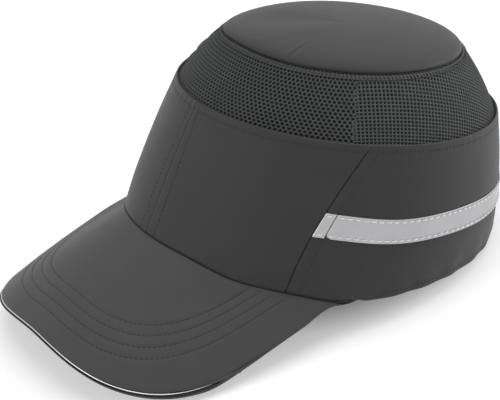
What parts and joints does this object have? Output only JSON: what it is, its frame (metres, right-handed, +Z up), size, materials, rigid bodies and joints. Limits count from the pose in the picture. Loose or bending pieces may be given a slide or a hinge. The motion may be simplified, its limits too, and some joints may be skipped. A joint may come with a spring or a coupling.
{
  "type": "bump cap",
  "caption": "Baseball-style bump cap: sewn fabric panels, mesh band and stiff curved visor over a removable hard shell with foam pads and a hook-and-loop rear strap.",
  "frame": {"origin": "on the table, under the middle of the bounding box of the cap as it stands", "axes": "+Z up, the visor points along -Y, the wearer's left is +X; the hem's plane is tipped about 8.6 degrees, front up"},
  "size_m": [0.1882, 0.3038, 0.1433],
  "materials": {
    "shell_cloth": "dark grey brushed cotton twill",
    "top_cloth": "dark grey brushed cotton twill, seen in brighter light",
    "visor_cloth": "dark grey brushed cotton twill over a stiff board",
    "mesh": "dark grey knitted polyester mesh with open holes",
    "reflective": "silver retroreflective tape",
    "webbing": "black woven polyester webbing",
    "pile": "black hook-and-loop tape",
    "lining": "black towelling and seam tape",
    "board": "polyethylene visor board",
    "abs": "black moulded ABS with a fine texture",
    "foam": "black closed-cell EVA foam"
  },
  "bodies": {
    "cap": {"front_panel_left": "shell_cloth", "front_panel_right": "shell_cloth", "back_panel_left": "shell_cloth", "back_panel_right": "shell_cloth", "mesh_band": "mesh", "crown_top_panel": "top_cloth", "centre_front_seam_tape": "lining", "side_seam_tape_left": "lining", "side_seam_tape_right": "lining", "centre_back_seam_tape": "lining", "tape_tab_left": "reflective", "tape_tab_right": "reflective", "reflective_tape_left": "reflective", "reflective_tape_right": "reflective", "sweatband": "lining", "hem_tape": "lining", "visor_upper_cover": "visor_cloth", "visor_board": "board", "visor_lower_cover": "visor_cloth", "visor_piping": "reflective", "strap_loop_patch": "pile", "strap_loop_side": "webbing", "insert_loop_left": "pile", "insert_loop_right": "pile"},
    "insert": {"protective_shell": "abs", "front_pad": "foam", "side_pad_left": "foam", "side_pad_right": "foam", "back_pad": "foam", "crown_pad": "foam", "insert_hook_left": "pile", "insert_hook_right": "pile"},
    "hook_strap": {"strap_hook_side": "webbing"},
    "pull_tab": {"strap_pull_tab": "webbing", "strap_hook_patch": "pile"}
  },
  "joints": [
    {"name": "insert_lift_out", "type": "slide", "parent": "cap", "child": "insert", "axis": [0, -0.2189, -0.9757], "range_m": [0, 0.16]},
    {"name": "strap_adjust", "type": "hinge", "parent": "cap", "child": "hook_strap", "pos_m": [0, 0.06588, 0.01022], "axis": [0, 0.1503, 0.9886], "range_deg": [-10, 6]},
    {"name": "tab_peel", "type": "hinge", "parent": "hook_strap", "child": "pull_tab", "pos_m": [-0.0081, 0.14234, 0.00061], "axis": [0, -0.1503, -0.9886], "range_deg": [0, 110]}
  ]
}
